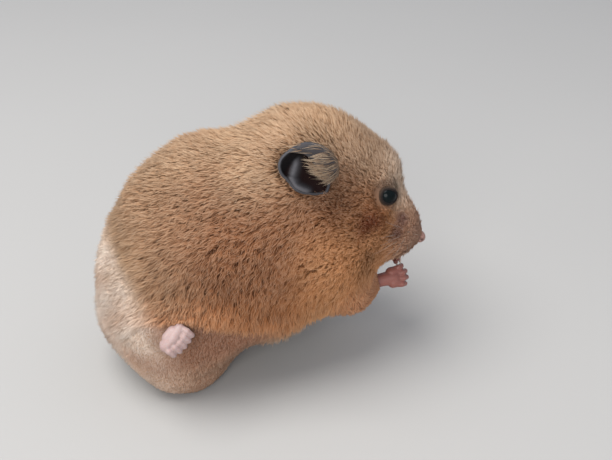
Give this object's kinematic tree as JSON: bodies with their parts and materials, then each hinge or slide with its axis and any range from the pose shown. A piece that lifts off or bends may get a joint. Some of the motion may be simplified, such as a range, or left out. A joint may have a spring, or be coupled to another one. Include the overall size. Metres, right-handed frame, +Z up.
{
  "type": "syrian hamster",
  "caption": "Life-size Syrian hamster, sitting hunched on its rump with bowed head and raised forepaws; still display model.",
  "frame": {"origin": "on the floor, under the middle of the bounding box", "axes": "+X from the rump to the nose, +Y to the animal's left, +Z up"},
  "size_m": [0.102, 0.077, 0.0823],
  "materials": {
    "coat": "dense soft short fur, golden orange, greyer on the crown",
    "bare_skin": "bare pink skin, soft and slightly moist",
    "ear_skin": "thin dark skin with a fine down",
    "nose_skin": "bare moist skin",
    "eye": "wet glossy black"
  },
  "bodies": {
    "root": {"head": "coat", "neck": "coat", "trunk": "coat", "foreleg_left": "coat", "foreleg_right": "coat", "hindleg_left": "coat", "hindleg_right": "coat", "tail": "bare_skin", "forepaw_left": "bare_skin", "forepaw_right": "bare_skin", "hindpaw_left": "bare_skin", "hindpaw_right": "bare_skin", "ear_left": "ear_skin", "ear_right": "ear_skin", "nose": "nose_skin", "eye_left": "eye", "eye_right": "eye"}
  },
  "joints": []
}
